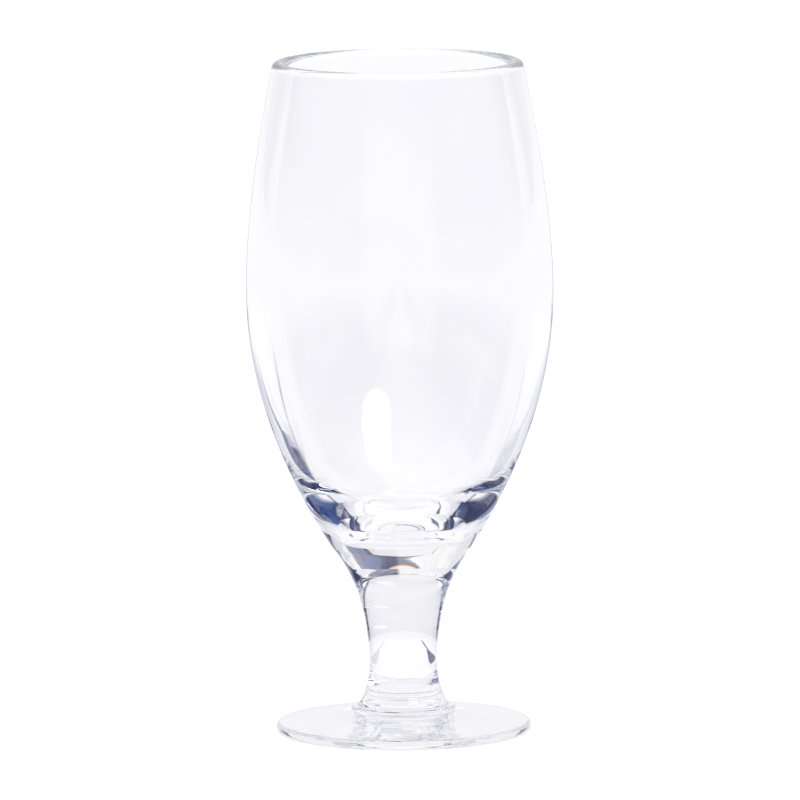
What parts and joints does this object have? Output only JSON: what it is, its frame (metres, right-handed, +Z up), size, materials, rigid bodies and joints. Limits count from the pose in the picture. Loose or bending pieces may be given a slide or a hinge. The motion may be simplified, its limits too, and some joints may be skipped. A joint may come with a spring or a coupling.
{
  "type": "pilsner glass",
  "caption": "Footed beer glass: a thick-walled barrel bowl that narrows to a rounded lip, on a heavy base drawn into a short waisted stem and a round disc foot.",
  "frame": {"origin": "centre of the standing ring under the foot, on the table", "axes": "+Z up along the glass's axis of revolution, from the foot to the lip; X and Y are alike"},
  "size_m": [0.0818, 0.0818, 0.18],
  "materials": {
    "clear_glass": "fire-polished clear soda-lime glass"
  },
  "bodies": {
    "root": {"bowl": "clear_glass", "stem": "clear_glass", "foot": "clear_glass"}
  },
  "joints": []
}
